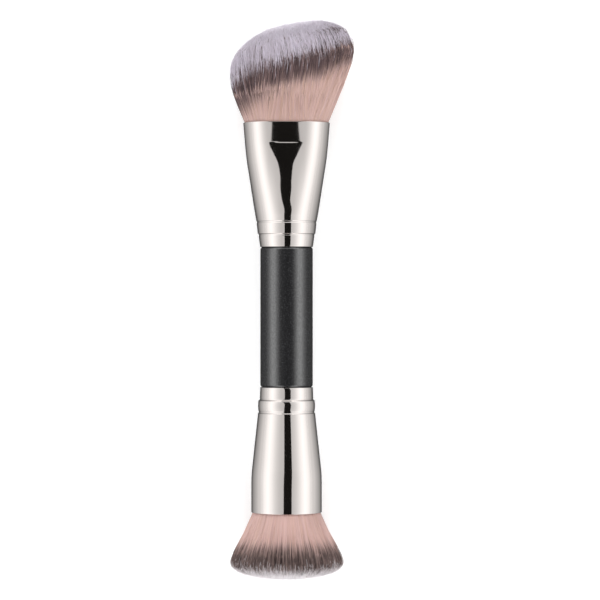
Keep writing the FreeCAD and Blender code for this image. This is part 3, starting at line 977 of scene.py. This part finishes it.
# Sizes of the studio are in metres.
studio = {
    "floorHalf": 4.0,
    "floorTone": (0.9, 0.9, 0.9, 1.0),
    "floorLift": 0.3,
    "domeStrength": 1.3,
    # Brightness of the soft dome by the height of the direction, from the horizon to straight up.
    "domeSteps": [(0.0, 0.58), (0.2, 0.8), (0.45, 0.92), (0.64, 0.78), (0.8, 0.58), (0.914, 0.46),
                  (0.966, 0.43), (1.0, 0.38)],
    "sideAngle": 55.0,               # of the lamp on each side, from straight up
    "sideDistance": 0.5,
    "sideSize": (0.6, 0.25),
    "sidePower": 0.33,
    "endAngle": 62.0,                # of the lamp beyond each head, from straight up
    "endDistance": 0.45,
    "endSize": (0.3, 0.2),
    "endPower": 0.62,
    "cardHeight": 0.3,
    "cardTone": (0.008, 0.0075, 0.007, 1.0),
    "cardPlaces": (-0.15, 0.16, 63),
    # Each card's left and right edge at places along the brush, joined by a smooth line.
    "cards": [
        [(-1.2, -0.3, 0.36), (-0.3, -0.08, 0.12), (-0.13, -0.046, 0.084), (-0.065, -0.045, 0.085),
         (-0.045, -0.042, 0.088), (0.02, -0.041, 0.088), (0.045, -0.056, 0.07), (0.066, -0.072, 0.058),
         (0.08, -0.078, 0.06), (0.1, -0.093, 0.076), (0.16, -0.093, 0.076)],
        [(0.4, -0.12, 0.12), (1.2, -0.36, 0.36)],
    ],
    "flagHalf": (1.5, 0.3),
    "flagHeight": 0.0002,
    # Brightness of the side flags by their distance from the brush's axis.
    "flagSteps": [(0.0, 0.07), (0.017, 0.09), (0.022, 0.17), (0.027, 0.31), (0.04, 0.44), (0.06, 0.55),
                  (0.09, 0.66), (0.3, 0.74), (1.0, 0.76)],
}


def makeWorld():
    # A soft dome, lit by the height of the direction alone.
    world = bpy.data.worlds.new("softDome")
    bpy.context.scene.world = world
    world.use_nodes = True
    tree = world.node_tree
    tree.nodes.clear()
    output = tree.nodes.new("ShaderNodeOutputWorld")
    direction = tree.nodes.new("ShaderNodeTexCoord")
    split = tree.nodes.new("ShaderNodeSeparateXYZ")
    tree.links.new(direction.outputs["Generated"], split.inputs[0])
    background = tree.nodes.new("ShaderNodeBackground")
    background.inputs["Strength"].default_value = studio["domeStrength"]
    tree.links.new(rampNode(tree, split.outputs[2], studio["domeSteps"]), background.inputs["Color"])
    tree.links.new(background.outputs[0], output.inputs[0])


def stagePlane(name, corners, look):
    mesh = bpy.data.meshes.new(name)
    mesh.from_pydata([tuple(corner) for corner in corners], [], [tuple(range(len(corners)))])
    mesh.materials.append(look)
    plane = bpy.data.objects.new(name, mesh)
    bpy.context.scene.collection.objects.link(plane)
    return plane


def onlyInReflections(plane):
    # Only glossy rays still meet it.
    plane.visible_camera = False
    plane.visible_diffuse = False
    plane.visible_transmission = False
    plane.visible_volume_scatter = False
    plane.visible_shadow = False


def makeFloor():
    # A pale matt floor, which the camera and reflections see a little brighter than it is lit.
    look, tree, output = emptyMaterial("paleFloor")
    matt = tree.nodes.new("ShaderNodeBsdfDiffuse")
    matt.inputs["Color"].default_value = studio["floorTone"]
    glow = tree.nodes.new("ShaderNodeEmission")
    path = tree.nodes.new("ShaderNodeLightPath")
    seen = mathNode(tree, "MAXIMUM", path.outputs["Is Camera Ray"], path.outputs["Is Glossy Ray"])
    seen = mathNode(tree, "MAXIMUM", seen, path.outputs["Is Transmission Ray"])
    tree.links.new(mathNode(tree, "MULTIPLY", seen, studio["floorLift"]), glow.inputs["Strength"])
    both = tree.nodes.new("ShaderNodeAddShader")
    tree.links.new(matt.outputs[0], both.inputs[0])
    tree.links.new(glow.outputs[0], both.inputs[1])
    tree.links.new(both.outputs[0], output.inputs[0])
    half = studio["floorHalf"]
    stagePlane("floor", [(-half, -half, 0), (half, -half, 0), (half, half, 0), (-half, half, 0)], look)


def makeFlags():
    # Black cards over the brush, and a grey flag on the floor, seen only in the metal.
    card, _, glow = newMaterial("blackCard", "Emission")
    glow.inputs["Color"].default_value = studio["cardTone"]
    x, y, _ = gripCentre
    for number, shape in enumerate(studio["cards"]):
        places, lefts, rights = np.array(shape).T
        between = np.linspace(*studio["cardPlaces"]).clip(places[0], places[-1])
        along = np.unique(np.concatenate([places, between]))
        left = np.stack([x + smoothThrough(places, lefts, along), y + along], axis=-1)
        right = np.stack([x + smoothThrough(places, rights, along), y + along], axis=-1)
        corners = [(*corner, studio["cardHeight"]) for corner in np.concatenate([left, right[::-1]])]
        onlyInReflections(stagePlane(f"card{number + 1}", corners, card))
    grey, tree, glow = newMaterial("sideFlag", "Emission")
    place = tree.nodes.new("ShaderNodeTexCoord")
    split = tree.nodes.new("ShaderNodeSeparateXYZ")
    tree.links.new(place.outputs["Object"], split.inputs[0])
    away = mathNode(tree, "ABSOLUTE", mathNode(tree, "SUBTRACT", split.outputs[0], float(x)))
    tree.links.new(rampNode(tree, away, studio["flagSteps"]), glow.inputs["Color"])
    wide, long = studio["flagHalf"]
    corners = [(x - wide, y - long), (x + wide, y - long), (x + wide, y + long), (x - wide, y + long)]
    flags = stagePlane("flags", [(*corner, studio["flagHeight"]) for corner in corners], grey)
    onlyInReflections(flags)


def makeLamp(name, away, size, power):
    # An area lamp along a direction from the barrel, aimed back at it.
    lamp = bpy.data.lights.new(name, "AREA")
    lamp.shape = "RECTANGLE"
    lamp.size, lamp.size_y = size
    lamp.energy = power
    holder = bpy.data.objects.new(name, lamp)
    holder.location = Vector(gripCentre) + away
    holder.rotation_mode = "QUATERNION"
    holder.rotation_quaternion = (-away).to_track_quat("-Z", "Y")
    holder.visible_glossy = False
    bpy.context.scene.collection.objects.link(holder)


def makeLamps():
    # A broad lamp on each side, and a soft one low beyond each head.
    for ending, side in (("Left", -1), ("Right", 1)):
        angle, distance = math.radians(studio["sideAngle"]), studio["sideDistance"]
        away = distance * Vector((side * math.sin(angle), 0.0, math.cos(angle)))
        makeLamp("side" + ending, away, studio["sideSize"], studio["sidePower"])
    for ending, side in (("Round", -1), ("Oval", 1)):
        angle, distance = math.radians(studio["endAngle"]), studio["endDistance"]
        away = distance * Vector((0.0, side * math.sin(angle), math.cos(angle)))
        makeLamp("end" + ending, away, studio["endSize"], studio["endPower"])


view = {
    "sensor": 36.0,
    "distance": 850.0,
    "height": 183.0,                 # of what the picture takes in, in millimetres
    "centre": (4.1, 5.2),            # of the picture, across and along the brush
    "clip": (0.05, 30.0),            # in metres
}


def makeCamera():
    # Straight over the brush, square to its axis, with the oval head at the top of the picture.
    camera = bpy.data.cameras.new("camera")
    camera.sensor_width = view["sensor"]
    camera.lens = view["sensor"] * view["distance"] / view["height"]
    camera.clip_start, camera.clip_end = view["clip"]
    holder = bpy.data.objects.new("camera", camera)
    bpy.context.scene.collection.objects.link(holder)
    up = Vector((0.0, math.cos(lean), -math.sin(lean)))
    back = Vector((0.0, math.sin(lean), math.cos(lean)))
    across, along = view["centre"]
    place = Vector(laid([across, -view["distance"], along]))
    holder.matrix_world = Matrix((
        (1.0, up.x, back.x, place.x),
        (0.0, up.y, back.y, place.y),
        (0.0, up.z, back.z, place.z),
        (0.0, 0.0, 0.0, 1.0),
    ))
    bpy.context.scene.camera = holder


barrelLook = makeBarrelLook()
plateLook = makePlateLook()
glueLook = makeGlueLook()
threadLook = makeThreadLook()
fibreLooks = {
    "oval": makeFibreLook("ovalHeadFibre", ovalColours),
    "round": makeFibreLook("roundHeadFibre", roundColours),
}
for end in ("oval", "round"):
    for node, look in ((end + "_glue_plug", glueLook), (end + "_root_binding", threadLook)):
        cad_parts[node].data.materials.clear()
        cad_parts[node].data.materials.append(look)
print("materials made")

makeBarrel(barrelLook)
makeOvalFerrule(plateLook)
makeRoundFerrule(plateLook)
print("barrel and ferrules made")

for end, head, turnedOver in (("oval", ovalHead, False), ("round", roundHead, True)):
    makeCore(end, head, turnedOver, fibreLooks[end])
    makeFibres(end, head, turnedOver, fibreLooks[end])
    print(end, "head made")

makeWorld()
makeFloor()
makeFlags()
makeLamps()
makeCamera()
bpy.context.scene.view_settings.view_transform = "Standard"
print("studio made")
